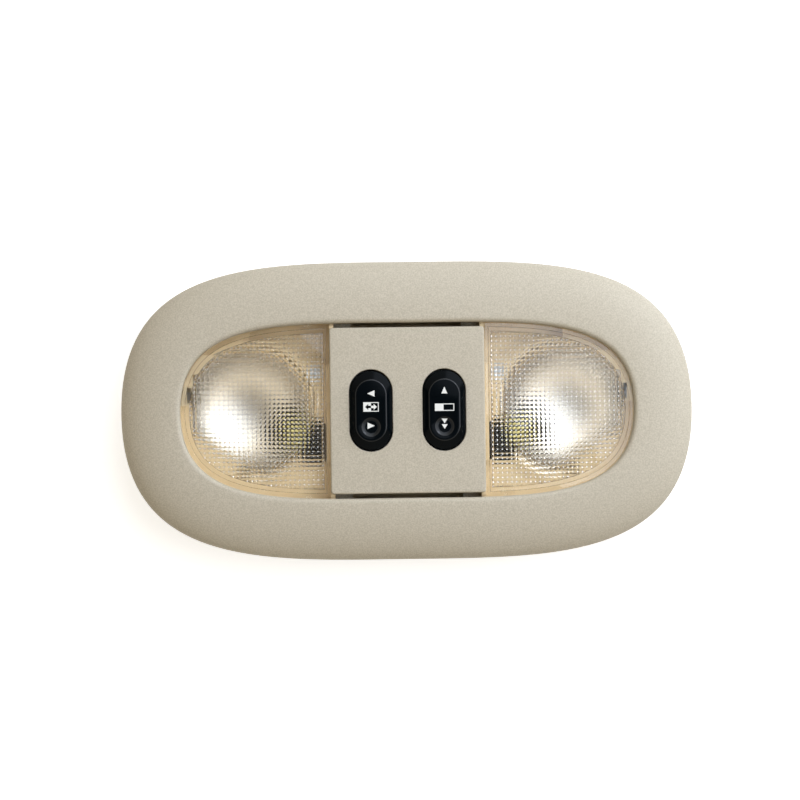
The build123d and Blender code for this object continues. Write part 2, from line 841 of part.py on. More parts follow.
def pan_screw(x, y, seat, direction):
    shank = sorted((seat, seat + direction * screw_length))
    head = sorted((seat, seat - direction * screw_head_height))
    crown_end = seat - direction * screw_head_height
    recess = sorted((crown_end, crown_end + direction * recess_depth))
    screw = upright(x, y, screw_radius, *shank) + upright(x, y, screw_head_radius, *head)
    for size_x, size_y in ((recess_width, screw_head_radius), (screw_head_radius, recess_width)):
        screw -= block(around(x, size_x), around(y, size_y), recess)
    return screw


def housing_screws():
    screws = [pan_screw(x, y, tab_bottom, 1) for x, y in screw_places()]
    return Compound(children=[screw.solid() for screw in screws])


def reflector_screws():
    screws = [pan_screw(side * reflector_screw_x, reflector_screw_y, rim_z, -1) for side in (-1, 1)]
    return Compound(children=[screw.solid() for screw in screws])


def mounting_clips():
    inner = blade_thickness / 2 + clip_gap + clip_thickness / 2
    bottom = -blade_depth - clip_thickness / 2
    top = bottom + clip_length
    profile = Polyline(
        (-inner, top),
        (-inner - clip_bulge, (top + bottom) / 2),
        (-inner, bottom),
        (inner, bottom),
        (inner + clip_bulge, (top + bottom) / 2),
        (inner, top),
    )
    strip = Plane.YZ * trace(profile, clip_thickness)
    clip = extrude(strip, clip_width / 2, dir=(1, 0, 0), both=True)
    clips = [Pos(x, y, 0) * clip for x, y in four_ways(band_point(blade_share))]
    return Compound(children=[one.solid() for one in clips])


def lamp_connector():
    shroud = prism(Rectangle(connector_width, connector_length), shroud_mouth, connector_top)
    inside = Rectangle(connector_width - 2 * connector_wall, connector_length - 2 * connector_wall)
    shroud -= prism(inside, shroud_mouth, connector_top - connector_wall)
    shroud = Pos(0, connector_y, 0) * shroud
    for x in pin_places():
        shroud -= pin(x, terminal_clearance)
    return shroud


def pin_places():
    return (-pin_pitch, 0, pin_pitch)


def pin(x, grow):
    tip = connector_top - connector_wall - pin_length
    width = strip_width + 2 * grow
    depth = strip_thickness + 2 * grow
    return block(around(x, width), around(connector_y, depth), (tip, connector_top + strip_thickness))


# Where each strip comes up through the floor beside the connector and runs over its top to a pin
def riser_y():
    return connector_y + connector_length / 2 + strip_riser_gap + strip_thickness / 2


def connector_lead(x):
    top = connector_top + strip_thickness
    riser = block(around(x, strip_width), around(riser_y(), strip_thickness), (strip_bottom, top))
    over = block(
        around(x, strip_width), (connector_y, riser_y() + strip_thickness / 2), (connector_top, top)
    )
    return riser + over + pin(x, 0)


def holder_contact(distance):
    turn = math.radians(bulb_turn)
    return (-bowl_x + distance * math.cos(turn), -distance * math.sin(turn))


def riser(x, y, top, grow):
    width = strip_width + 2 * grow
    depth = strip_thickness + 2 * grow
    return block(around(x, width), around(y, depth), (strip_bottom, top))


def feed_contact():
    return holder_contact(holder_end - strip_width / 2)


def lamp_contact():
    return holder_contact(holder_front + contact_setback + strip_width / 2)


def switch_contact(side):
    return (-push_x + push_offset(), push_y + side * push_length / 3)


def holder_bottom():
    return bulb_z - holder_radius - terminal_clearance


# The upright tabs of every strip, cut from the floor with a clearance
def strip_risers(grow):
    tabs = []
    for contact, top in ((feed_contact(), holder_bottom()), (lamp_contact(), holder_bottom())):
        tabs.append(riser(*contact, top, grow))
    for side in (-1, 1):
        tabs.append(riser(*switch_contact(side), floor_top, grow))
    tabs += [mirrored(tab) for tab in tabs]
    for x in pin_places():
        width = strip_width + 2 * grow
        depth = strip_thickness + 2 * grow
        tabs.append(block(around(x, width), around(riser_y(), depth), (strip_bottom, floor_top)))
    return tabs


def lane(*points):
    return prism(trace(Polyline(*points), strip_width), strip_bottom, floor_bottom)


def left_feed_strip():
    x, y = feed_contact()
    lane_y = y - feed_lane_drop
    run = lane((x, y), (x, lane_y), (-pin_pitch, lane_y), (-pin_pitch, riser_y()))
    return run + riser(x, y, holder_bottom(), 0) + connector_lead(-pin_pitch)


def left_lamp_strip():
    x, y = lamp_contact()
    end_x, end_y = switch_contact(-1)
    run = lane((x, y), (x, -lamp_lane), (end_x, -lamp_lane), (end_x, end_y))
    return run + riser(x, y, holder_bottom(), 0) + riser(end_x, end_y, floor_top, 0)


def ground_strip():
    end_x, end_y = switch_contact(1)
    run = lane((end_x, end_y), (end_x, ground_lane), (-end_x, ground_lane), (-end_x, end_y))
    run += lane((0, ground_lane), (0, riser_y()))
    run += connector_lead(0)
    for x in (end_x, -end_x):
        run += riser(x, end_y, floor_top, 0)
    return run


def pieces():
    left = {
        "lens": left_lens(),
        "reflector": left_reflector(),
        "bulb": left_bulb(),
        "bulb_holder": left_bulb_holder(),
        "push_switch": left_push_switch(),
        "push_plunger": left_push_plunger(),
        "plunger_spring": left_plunger_spring(),
        "feed_strip": left_feed_strip(),
        "lamp_strip": left_lamp_strip(),
    }
    made = {
        "bezel": bezel(),
        "switch_panel": switch_panel(),
        "lamp_housing": lamp_housing(),
        "lamp_connector": lamp_connector(),
        "ground_strip": ground_strip(),
        "housing_screws": housing_screws(),
        "reflector_screws": reflector_screws(),
        "mounting_clips": mounting_clips(),
    }
    for name, shape in left.items():
        made["left_" + name] = shape
        made["right_" + name] = mirrored(shape)
    for name, x in (("window", -rocker_x), ("roof", rocker_x)):
        made[name + "_rocker"] = rocker(x)
        made[name + "_switch_body"] = switch_body(x)
        made[name + "_dome_mat"] = dome_mat(x)
        made[name + "_circuit_board"] = circuit_board(x)
        made[name + "_terminals"] = terminals(x)
    return made


os.makedirs("parts", exist_ok=True)
for name, shape in pieces().items():
    export_step(shape, "parts/" + name + ".step")
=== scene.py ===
import json
import math

import bpy
from mathutils import Matrix, Vector


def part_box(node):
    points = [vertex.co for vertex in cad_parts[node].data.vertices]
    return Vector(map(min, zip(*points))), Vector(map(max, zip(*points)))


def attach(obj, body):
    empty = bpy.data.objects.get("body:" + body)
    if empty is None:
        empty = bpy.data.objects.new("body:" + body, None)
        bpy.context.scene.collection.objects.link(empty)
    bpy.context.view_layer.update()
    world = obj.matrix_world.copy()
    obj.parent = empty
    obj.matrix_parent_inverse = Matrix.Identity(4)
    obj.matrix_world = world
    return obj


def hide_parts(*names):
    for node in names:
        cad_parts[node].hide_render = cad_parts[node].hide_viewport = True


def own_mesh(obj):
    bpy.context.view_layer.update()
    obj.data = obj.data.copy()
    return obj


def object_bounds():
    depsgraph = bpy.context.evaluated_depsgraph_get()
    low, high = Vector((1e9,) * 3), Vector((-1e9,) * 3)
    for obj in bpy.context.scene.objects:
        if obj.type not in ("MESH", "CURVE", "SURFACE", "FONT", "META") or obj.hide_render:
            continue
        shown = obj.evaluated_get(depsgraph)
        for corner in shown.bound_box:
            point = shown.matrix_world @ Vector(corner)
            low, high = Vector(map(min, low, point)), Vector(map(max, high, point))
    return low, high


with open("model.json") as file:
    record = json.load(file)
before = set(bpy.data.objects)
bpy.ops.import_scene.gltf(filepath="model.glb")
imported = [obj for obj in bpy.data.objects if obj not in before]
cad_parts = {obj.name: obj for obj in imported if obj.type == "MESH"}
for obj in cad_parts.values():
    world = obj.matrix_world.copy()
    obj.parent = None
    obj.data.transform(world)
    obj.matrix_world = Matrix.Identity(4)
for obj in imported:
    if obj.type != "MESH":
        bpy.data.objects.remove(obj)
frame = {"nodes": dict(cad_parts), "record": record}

# Overhead dome light of a car, lying on its back under soft studio light and seen from above
mm = 0.001
cadBox = [list(corner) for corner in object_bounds()]
cad = frame["nodes"]
bodyOf = {node: body for body, members in frame["record"]["behaviour"]["bodies"].items() for node in members}
slotOf = {part["node"]: part["material_slot"] for part in frame["record"]["subparts"]}


def hexColour(code):
    channels = [int(code[at:at + 2], 16) / 255 for at in (1, 3, 5)]
    linear = [c / 12.92 if c <= 0.04045 else ((c + 0.055) / 1.055) ** 2.4 for c in channels]
    return (*linear, 1.0)


def selectOnly(piece):
    bpy.ops.object.select_all(action="DESELECT")
    piece.select_set(True)
    bpy.context.view_layer.objects.active = piece


# Goes to edit mode with only the wanted faces or points selected
def selectWhere(piece, kind, wanted):
    selectOnly(piece)
    bpy.ops.object.mode_set(mode="EDIT")
    bpy.ops.mesh.select_mode(type=kind)
    bpy.ops.mesh.select_all(action="DESELECT")
    bpy.ops.object.mode_set(mode="OBJECT")
    for element in piece.data.polygons if kind == "FACE" else piece.data.vertices:
        element.select = wanted(element)
    bpy.ops.object.mode_set(mode="EDIT")


def addNode(tree, kind, inputs, **settings):
    made = tree.nodes.new("ShaderNode" + kind)
    for key, value in settings.items():
        setattr(made, key, value)
    for key, value in inputs.items():
        if isinstance(value, bpy.types.NodeSocket):
            tree.links.new(value, made.inputs[key])
        else:
            made.inputs[key].default_value = value
    return made


def newMaterial(name):
    material = bpy.data.materials.new(name)
    material.use_nodes = True
    material.node_tree.nodes.clear()
    return material, material.node_tree


def paint(piece, material):
    piece.data.materials.clear()
    piece.data.materials.append(material)


bpy.ops.object.select_all(action="DESELECT")

# Camera
view = {
    "distance": 1.2,
    "frameWidth": 376 * mm,  # what the frame takes in at the bezel's rim
    "middle": (-3.3 * mm, 4.9 * mm, 2 * mm),  # the point at the middle of the frame
    "leanX": -1.2,  # degrees that the camera stands off to the side
    "leanY": -0.9,
    "roll": -0.75,
    "sensor": 36,
}


def addCamera():
    aim = Vector(view["middle"])
    lean = Vector((math.tan(math.radians(view["leanX"])), math.tan(math.radians(view["leanY"])), 1)).normalized()
    data = bpy.data.cameras.new("camera")
    camera = bpy.data.objects.new("camera", data)
    bpy.context.scene.collection.objects.link(camera)
    data.sensor_width = view["sensor"]
    data.lens = data.sensor_width * view["distance"] / view["frameWidth"]
    across = Vector((0, 1, 0)).cross(lean).normalized()
    turn = Matrix((across, lean.cross(across), lean)).transposed().to_4x4()
    roll = Matrix.Rotation(math.radians(view["roll"]), 4, "Z")
    camera.matrix_world = Matrix.Translation(aim + lean * view["distance"]) @ turn @ roll
    bpy.context.scene.camera = camera


addCamera()
print("camera placed")

# Studio: a pale floor, a wide softbox and a small spot at the upper right, and a room that is lightest at mid height
studio = {
    "floorSize": 40.0,
    "floorTone": "#e9e8e4",
    "floorGlow": 0.68,  # lifts the floor to white for the camera and keeps its shadow
    "fill": "#aca28e",  # the room as a light
    "room": ((0.0, "#a89d8a"), (0.34, "#fff5e3"), (0.66, "#fff5e3"), (0.98, "#88847d")),  # by height, as glass shows it
    "lampTone": "#e3eeff",
    "softbox": {"place": (0.43, 0.35, 0.52), "size": 1.4, "power": 9.9},
    "spot": {"place": (0.62, 0.54, 0.8), "size": 0.24, "power": 2.4},
}


def addLamp(name):
    lamp = studio[name]
    bpy.ops.object.light_add(type="AREA", location=lamp["place"])
    light = bpy.context.active_object
    light.name = name
    light.data.shape = "DISK"
    light.data.size = lamp["size"]
    light.data.energy = lamp["power"]
    light.data.color = hexColour(studio["lampTone"])[:3]
    light.rotation_euler = (-Vector(lamp["place"])).to_track_quat("-Z", "Y").to_euler()


# 1 where the camera sees a surface itself, in a mirror or through glass
def backdropSeen(tree):
    path = addNode(tree, "LightPath", {})
    seen = addNode(tree, "Math", {0: path.outputs["Is Camera Ray"], 1: path.outputs["Is Glossy Ray"]},
                   operation="MAXIMUM")
    return addNode(tree, "Math", {0: seen.outputs[0], 1: path.outputs["Is Transmission Ray"]},
                   operation="MAXIMUM").outputs[0]


# White paper: plain and matt, white to the camera, with the object's soft shadow still on it
def paperFloor():
    material, tree = newMaterial("matt_white_paper")
    glow = addNode(tree, "Math", {0: backdropSeen(tree), 1: studio["floorGlow"]}, operation="MULTIPLY")
    paper = addNode(tree, "BsdfDiffuse", {"Color": hexColour(studio["floorTone"])})
    light = addNode(tree, "Emission", {"Strength": glow.outputs[0]})
    both = addNode(tree, "AddShader", {0: paper.outputs[0], 1: light.outputs[0]})
    addNode(tree, "OutputMaterial", {"Surface": both.outputs[0]})
    return material


def addStudio():
    bpy.ops.mesh.primitive_plane_add(size=studio["floorSize"], location=(0, 0, cadBox[0][2]))
    floor = bpy.context.active_object
    floor.name = "floor"
    paint(floor, paperFloor())
    addLamp("softbox")
    addLamp("spot")
    world = bpy.data.worlds.new("studio_room")
    world.use_nodes = True
    tree = world.node_tree
    tree.nodes.clear()
    place = addNode(tree, "TexCoord", {})
    height = addNode(tree, "SeparateXYZ", {0: place.outputs["Generated"]})
    shown = addNode(tree, "ValToRGB", {"Fac": height.outputs["Z"]})
    stops = shown.color_ramp.elements
    for at, (level, tone) in enumerate(studio["room"]):
        stop = stops[at] if at < 2 else stops.new(level)  # a ramp comes with two stops
        stop.position = level
        stop.color = hexColour(tone)
    tone = addNode(tree, "Mix", {0: backdropSeen(tree), 6: hexColour(studio["fill"]), 7: shown.outputs[0]},
                   data_type="RGBA")
    room = addNode(tree, "Background", {"Color": tone.outputs[2], "Strength": 1.0})
    addNode(tree, "OutputWorld", {"Surface": room.outputs[0]})
    bpy.context.scene.world = world
    bpy.context.scene.view_settings.view_transform = "Standard"


addStudio()
print("studio lit")

# Materials
refraction = {"abs": 1.53, "polypropylene": 1.49, "acrylic": 1.49, "glass": 1.5, "moulding": 1.5, "laminate": 1.55}


# Noise that is fixed to the piece, with clouds of about this size
def noiseOver(tree, size, detail=2.0):
    place = addNode(tree, "TexCoord", {})
    noise = addNode(tree, "TexNoise", {"Vector": place.outputs["Object"], "Scale": 1 / size, "Detail": detail})
    return noise.outputs[0]


def mixTones(tree, share, first, second):
    return addNode(tree, "Mix", {0: share, 6: hexColour(first), 7: hexColour(second)}, data_type="RGBA").outputs[2]


def relief(tree, height, strength, depth):
    return addNode(tree, "Bump", {"Height": height, "Strength": strength, "Distance": depth}).outputs[0]


def coverWith(tree, inputs):
    skin = addNode(tree, "BsdfPrincipled", inputs)
    addNode(tree, "OutputMaterial", {"Surface": skin.outputs[0]})


beige = {
    "face": "#c7beac",
    "fleck": "#b4ab98",
    "grain": 0.6 * mm,  # a real grain of 0.2 mm would not show at this distance, so it is drawn coarser
    "contrast": (0.36, 0.64),  # noise levels of the darkest and the lightest flecks
    "pits": 0.45,
    "depth": 0.05 * mm,
    "roughness": 0.62,
}


# Grained ABS: a spark-eroded mould leaves a matt beige skin of fine light and dark flecks
def grainedAbs():
    material, tree = newMaterial("grained_beige_abs")
    grain = noiseOver(tree, beige["grain"])
    darkest, lightest = beige["contrast"]
    flecks = addNode(tree, "MapRange", {"Value": grain, "From Min": darkest, "From Max": lightest})
    coverWith(tree, {"Base Color": mixTones(tree, flecks.outputs[0], beige["fleck"], beige["face"]),
                     "Roughness": beige["roughness"], "IOR": refraction["abs"],
                     "Normal": relief(tree, grain, beige["pits"], beige["depth"])})
    return material


tan = {"face": "#ddc7a0", "cloud": "#d5be95", "cloudSize": 9 * mm, "detail": 3.0, "roughness": 0.42}


# Moulded polypropylene: a smooth tan tray with faint clouding from the flow of the melt
def tanPolypropylene():
    material, tree = newMaterial("tan_polypropylene")
    cloud = noiseOver(tree, tan["cloudSize"], tan["detail"])
    coverWith(tree, {"Base Color": mixTones(tree, cloud, tan["cloud"], tan["face"]), "Roughness": tan["roughness"],
                     "IOR": refraction["polypropylene"]})
    return material


# Clear mouldings: the body, and darker tinted copies on the ridges between the hollows and on the step round the optic,
# whose tints are painted shade for the dark lines there
acrylics = {
    "clear_acrylic": "#fefdfa",
    # darker tints for the flanks of the hollows: painted shade that draws the grid of lines between them
    "acrylic_row_ridge": "#e6e2da",
    "acrylic_column_ridge": "#f4f2ec",
    # dark brown tint for the rounded step round the optic: painted shade for the dark line along its edge
    "acrylic_step": "#7d6040",
}


# Polished acrylic: bright and colourless, it bends what lies behind and lets the lamps through to it; the tinted copies
# darken only what is seen through them, as painted shade, and still let the lamps through clear
def polishedAcrylic(name):
    material, tree = newMaterial(name)
    path = addNode(tree, "LightPath", {})
    glass = addNode(tree, "BsdfPrincipled", {"Base Color": hexColour(acrylics[name]), "IOR": refraction["acrylic"],
                                             "Roughness": 0.0, "Transmission Weight": 1.0})
    through = addNode(tree, "BsdfTransparent", {"Color": hexColour(acrylics["clear_acrylic"])})
    both = addNode(tree, "MixShader", {0: path.outputs["Is Shadow Ray"], 1: glass.outputs[0], 2: through.outputs[0]})
    addNode(tree, "OutputMaterial", {"Surface": both.outputs[0]})
    return material


etched = {"tone": "#e6d2ac", "clear": 0.4, "roughness": 0.5, "frost": 0.4 * mm, "pits": 0.4, "depth": 0.02 * mm}


# Etched acrylic: frosted patches that scatter light and half hide what lies under the end of the lens
def etchedAcrylic():
    material, tree = newMaterial("etched_acrylic")
    frost = noiseOver(tree, etched["frost"])
    coverWith(tree, {"Base Color": hexColour(etched["tone"]), "IOR": refraction["acrylic"],
                     "Roughness": etched["roughness"], "Transmission Weight": etched["clear"],
                     "Normal": relief(tree, frost, etched["pits"], etched["depth"])})
    return material


silver = {"face": "#f1ece3", "roughness": 0.1, "ripple": 6 * mm, "waves": 0.3, "depth": 0.02 * mm}


# Vacuum-metallised plastic: a bright mirror, a little soft and rippled as the moulding under it is
def metallisedPlastic():
    material, tree = newMaterial("vacuum_metallised_plastic")
    ripple = noiseOver(tree, silver["ripple"])
    coverWith(tree, {"Base Color": hexColour(silver["face"]), "Metallic": 1.0, "Roughness": silver["roughness"],
                     "Normal": relief(tree, ripple, silver["waves"], silver["depth"])})
    return material


bulb = {"glass": "#ffe773", "haze": "#fff6c2", "hazeSize": 3 * mm, "roughness": 0.1, "clear": 0.1}


# Soda glass, hazed by use: pale, warm and only a little clear
def bulbGlass():
    material, tree = newMaterial("warm_bulb_glass")
    haze = noiseOver(tree, bulb["hazeSize"])
    coverWith(tree, {"Base Color": mixTones(tree, haze, bulb["glass"], bulb["haze"]), "Roughness": bulb["roughness"],
                     "IOR": refraction["glass"], "Transmission Weight": bulb["clear"]})
    return material


# Mouldings in one colour: face, fleck, fleck size, roughness, depth of the grain, and how far it mirrors the room
mouldings = {
    "satin_black_abs": ("#02060a", "#050a0e", 0.5 * mm, 0.14, 0.004 * mm, 0.06),
    "rubbed_black_abs": ("#02060a", "#050a0e", 0.5 * mm, 0.3, 0.004 * mm, 0.33),
    "matt_black_nylon": ("#0c0b0a", "#141312", 0.8 * mm, 0.5, 0.02 * mm, 0.15),
    "dark_grey_pbt": ("#2b2c2e", "#36373a", 1.2 * mm, 0.5, 0.015 * mm, 0.5),
    "natural_nylon": ("#faf0da", "#f2e5c9", 2.0 * mm, 0.4, 0.006 * mm, 0.5),
    "white_acetal": ("#e8e6df", "#dcd9d0", 2.0 * mm, 0.3, 0.005 * mm, 0.5),
    "grey_silicone": ("#8d9094", "#7f8286", 1.5 * mm, 0.7, 0.01 * mm, 0.5),
    "white_pad_ink": ("#f1f1ee", "#e4e4df", 0.3 * mm, 0.6, 0.004 * mm, 0.5),
}
mouldPits = 0.4


# Each is flecked a little and pitted by its mould, so that light breaks up on it
def moulding(name):
    face, fleck, size, roughness, depth, mirror = mouldings[name]
    material, tree = newMaterial(name)
    grain = noiseOver(tree, size)
    coverWith(tree, {"Base Color": mixTones(tree, grain, face, fleck), "Roughness": roughness,
                     "IOR": refraction["moulding"], "Specular IOR Level": mirror,
                     "Normal": relief(tree, grain, mouldPits, depth)})
    return material


laminate = {
    "mask": "#1e5a34",
    "track": "#2f7a4a",
    "pitch": 2.5 * mm,
    "wave": 0.3,  # scale at which the pattern repeats once in a unit
    "wander": 3.0,
    "edge": (0.6, 0.7),  # pattern levels between which a track begins
    "roughness": 0.3,
}


# Glass-epoxy board: green solder mask, paler over the copper tracks that run along it
def greenLaminate():
    material, tree = newMaterial("glass_epoxy_laminate")
    place = addNode(tree, "TexCoord", {})
    tracks = addNode(tree, "TexWave", {"Vector": place.outputs["Object"],
                                       "Scale": laminate["wave"] / laminate["pitch"],
                                       "Distortion": laminate["wander"], "Detail": 0.0}, bands_direction="Y")
    outside, inside = laminate["edge"]
    edge = addNode(tree, "MapRange", {"Value": tracks.outputs[1], "From Min": outside, "From Max": inside})
    coverWith(tree, {"Base Color": mixTones(tree, edge.outputs[0], laminate["mask"], laminate["track"]),
                     "Roughness": laminate["roughness"], "IOR": refraction["laminate"]})
    return material


# Bare metals: face, stain, stain size and roughness
metals = {
    "stamped_brass": ("#c9a257", "#a98242", 5 * mm, 0.3),
    "bright_zinc_steel": ("#c9cbcd", "#aeb0b4", 2 * mm, 0.26),
    "tempered_spring_steel": ("#6f7074", "#55565a", 3 * mm, 0.34),
}
stains = {"detail": 4.0, "wear": (-0.08, 0.16)}  # change of roughness from the cleanest place to the most stained


# Rolled or drawn metal, with handling stains that dull it in places
def bareMetal(name):
    face, stain, size, roughness = metals[name]
    material, tree = newMaterial(name)
    spots = noiseOver(tree, size, stains["detail"])
    cleanest, worst = (roughness + change for change in stains["wear"])
    worn = addNode(tree, "MapRange", {"Value": spots, "To Min": cleanest, "To Max": worst})
    coverWith(tree, {"Base Color": mixTones(tree, spots, face, stain), "Metallic": 1.0, "Roughness": worn.outputs[0]})
    return material


finishes = {
    "beige_plastic": grainedAbs(),
    "housing_plastic": tanPolypropylene(),
    "clear_lens": polishedAcrylic("clear_acrylic"),
    "silver_coating": metallisedPlastic(),
    "bulb_glass": bulbGlass(),
    "holder_plastic": moulding("matt_black_nylon"),
    "knob_plastic": moulding("satin_black_abs"),
    "switch_plastic": moulding("dark_grey_pbt"),
    "natural_plastic": moulding("natural_nylon"),
    "plunger_plastic": moulding("white_acetal"),
    "dome_rubber": moulding("grey_silicone"),
    "board_laminate": greenLaminate(),
    "brass_strip": bareMetal("stamped_brass"),
    "screw_steel": bareMetal("bright_zinc_steel"),
    "spring_steel": bareMetal("tempered_spring_steel"),
}
for name, node in cad.items():
    paint(node, finishes[slotOf[name]])
print("materials made for", len(cad), "pieces")

smooth = {"weld": 0.002 * mm, "angle": 28}


# A welded copy of a moulded piece, shaded smooth over its curves and crisp at its edges
def smoothCopy(node, name):
    piece = bpy.data.objects.new(name, cad[node].data.copy())
    bpy.context.scene.collection.objects.link(piece)
    selectOnly(piece)
    bpy.ops.mesh.customdata_custom_splitnormals_clear()
    bpy.ops.object.mode_set(mode="EDIT")
    bpy.ops.mesh.select_all(action="SELECT")
    bpy.ops.mesh.remove_doubles(threshold=smooth["weld"])
    bpy.ops.object.mode_set(mode="OBJECT")
    bpy.ops.object.shade_smooth_by_angle(angle=math.radians(smooth["angle"]))
    return piece


def standFor(piece, node):
    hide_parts(node)
    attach(piece, bodyOf[node])


# Lenses: each optic has a grid of small hollows in its underside, which spread the light
lensGrid = {
    "pitch": 2.19 * mm,
    "edgeSlope": (37, 41),  # degrees at a hollow's edge, across the columns and across the rows
    "steps": 6,  # across a hollow
    "skin": 1.3 * mm,  # clear plastic left over the middle of a hollow
    "cutter": 4 * mm,  # depth of the block that carries the bumps
    "snap": 0.01,  # share of the pitch within which points count as one
    "level": 0.001 * mm,  # a face this close to the top belongs to it
    "merge": 1,  # degrees between faces that are joined to one outline
    "crease": 34,
    "flat": 0.99,  # height of the normal from which a face counts as flat
    "hollow": 0.5,  # and from which a face that looks down belongs to a hollow
    "ridgeSlope": 0.55,  # a hollow's flank that is steeper belongs to the ridge
    "stepTilt": (0.3, 0.97),  # heights of the normals on the rounded steps of the upper side
    "flange": (2 * mm, 4 * mm),  # below the top of the lens, where the underside of the flange lies
    "patches": ((99.9, 3.2, 17.8), (86, 17.8, 26.8)),  # frosted: start from the middle and two sides, in mm
}


# A block whose top is a grid of bumps, each the same dome, for cutting the hollows
def bumpBlock(low, high, top):
    pitch = lensGrid["pitch"]
    steps = lensGrid["steps"]
    snap = lensGrid["snap"] * pitch
    columns = math.ceil((high.x - low.x) / pitch) + 1
    rows = math.ceil((high.y - low.y) / pitch) + 1
    middle = (low + high) / 2
    bpy.ops.mesh.primitive_grid_add(x_subdivisions=steps, y_subdivisions=steps, size=pitch)
    block = bpy.context.active_object
    for axis, slope in enumerate(lensGrid["edgeSlope"]):
        curve = math.tan(math.radians(slope)) / pitch
        for step in range(steps + 1):
            place = (step / steps - 0.5) * pitch
            selectWhere(block, "VERT", lambda point: abs(point.co[axis] - place) < snap)
            bpy.ops.transform.translate(value=(0, 0, -curve * place ** 2))
            bpy.ops.object.mode_set(mode="OBJECT")
    for count, offset in ((columns, (pitch, 0, 0)), (rows, (0, pitch, 0))):
        bpy.ops.object.modifier_add(type="ARRAY")
        array = block.modifiers[-1]
        array.count = count
        array.use_relative_offset = False
        array.use_constant_offset = True
        array.constant_offset_displace = offset
        array.use_merge_vertices = True
        array.merge_threshold = snap
        bpy.ops.object.modifier_apply(modifier=array.name)
    bpy.ops.object.mode_set(mode="EDIT")
    bpy.ops.mesh.select_all(action="SELECT")
    corner = (middle.x - (columns - 1) * pitch / 2, middle.y - (rows - 1) * pitch / 2, top)
    bpy.ops.transform.translate(value=corner)
    bpy.ops.mesh.select_all(action="DESELECT")
    bpy.ops.mesh.select_mode(type="EDGE")
    bpy.ops.mesh.select_non_manifold()
    bpy.ops.mesh.extrude_edges_move(TRANSFORM_OT_translate={"value": (0, 0, -lensGrid["cutter"])})
    bpy.ops.transform.resize(value=(1, 1, 0))
    bpy.ops.mesh.edge_face_add()
    bpy.ops.mesh.select_all(action="SELECT")
    bpy.ops.mesh.normals_make_consistent(inside=False)
    bpy.ops.object.mode_set(mode="OBJECT")
    return block


# A plug of the optic's outline, drawn down from the flat top of the lens
def opticPlug(node, depth):
    plug = smoothCopy(node, node + "_plug")
    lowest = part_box(node)[1].z - lensGrid["level"]
    selectWhere(plug, "FACE", lambda face: face.center.z < lowest or face.normal.z < lensGrid["flat"])
    bpy.ops.mesh.delete(type="FACE")
    bpy.ops.mesh.select_all(action="SELECT")
    bpy.ops.mesh.dissolve_limited(angle_limit=math.radians(lensGrid["merge"]))
    bpy.ops.mesh.extrude_region_move(TRANSFORM_OT_translate={"value": (0, 0, -depth)})
    bpy.ops.mesh.select_all(action="SELECT")
    bpy.ops.mesh.normals_make_consistent(inside=False)
    bpy.ops.object.mode_set(mode="OBJECT")
    return plug


def combine(piece, other, operation):
    selectOnly(piece)
    bpy.ops.object.modifier_add(type="BOOLEAN")
    joint = piece.modifiers[-1]
    joint.object = other
    joint.operation = operation
    joint.solver = "EXACT"
    bpy.ops.object.modifier_apply(modifier=joint.name)
    bpy.data.objects.remove(other)


def underFlange(face, top):
    least, most = lensGrid["flange"]
    return face.normal.z < -lensGrid["flat"] and top - most < face.center.z < top - least


# Divides the underside of the flange along the edges of the frosted patches
def splitFlange(lens, top):
    for start, near, far in lensGrid["patches"]:
        cuts = [((0, y * mm, 0), (0, 1, 0)) for y in (near, far)]
        cuts += [((x * mm, 0, 0), (1, 0, 0)) for x in (-start, start)]
        for point, way in cuts:
            selectWhere(lens, "FACE", lambda face: underFlange(face, top))
            bpy.ops.mesh.bisect(plane_co=point, plane_no=way)
            bpy.ops.object.mode_set(mode="OBJECT")


# Which of the lens materials a face takes
def lensFinish(face, top):
    x, y = abs(face.center.x) / mm, face.center.y / mm
    tilt = face.normal
    steepest, flattest = lensGrid["stepTilt"]
    if underFlange(face, top) and any(x > start and near < y < far for start, near, far in lensGrid["patches"]):
        return "etched_acrylic"
    # the rounded step round the optic takes the dark tint, painted shade for the line along its edge
    if steepest < tilt.z < flattest and face.center.z > top - lensGrid["skin"]:
        return "acrylic_step"
    # steep flanks of the hollows take the darker ridge tints, painted shade for the grid lines
    if -tilt.z > lensGrid["hollow"]:
        ridge = -lensGrid["ridgeSlope"] * tilt.z
        if abs(tilt.y) > ridge:
            return "acrylic_row_ridge"
        if abs(tilt.x) > ridge:
            return "acrylic_column_ridge"
    return "clear_acrylic"


lensFinishes = {"clear_acrylic": finishes["clear_lens"]}
for name in ("acrylic_row_ridge", "acrylic_column_ridge", "acrylic_step"):
    lensFinishes[name] = polishedAcrylic(name)
lensFinishes["etched_acrylic"] = etchedAcrylic()


def hollowedLens(node):
    lens = smoothCopy(node, node + "_moulding")
    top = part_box(node)[1].z
    plug = opticPlug(node, 2 * lensGrid["cutter"])
    corners = [vertex.co for vertex in plug.data.vertices]
    low, high = (Vector((end(c.x for c in corners), end(c.y for c in corners), 0)) for end in (min, max))
    bumps = bumpBlock(low, high, top - lensGrid["skin"])
    combine(bumps, plug, "INTERSECT")
    combine(lens, bumps, "DIFFERENCE")
    splitFlange(lens, top)
    selectOnly(lens)
    bpy.ops.object.shade_smooth_by_angle(angle=math.radians(lensGrid["crease"]))
    lens.data.materials.clear()
    for material in lensFinishes.values():
        lens.data.materials.append(material)
    order = list(lensFinishes)
    for face in lens.data.polygons:
        face.material_index = order.index(lensFinish(face, top))
    standFor(lens, node)
    print(lens.name, len(lens.data.polygons), "faces")


for node in ("left_lens", "right_lens"):
    hollowedLens(node)

for node in ("bezel", "switch_panel", "lamp_housing"):
    standFor(smoothCopy(node, node + "_moulding"), node)
print("mouldings smoothed")

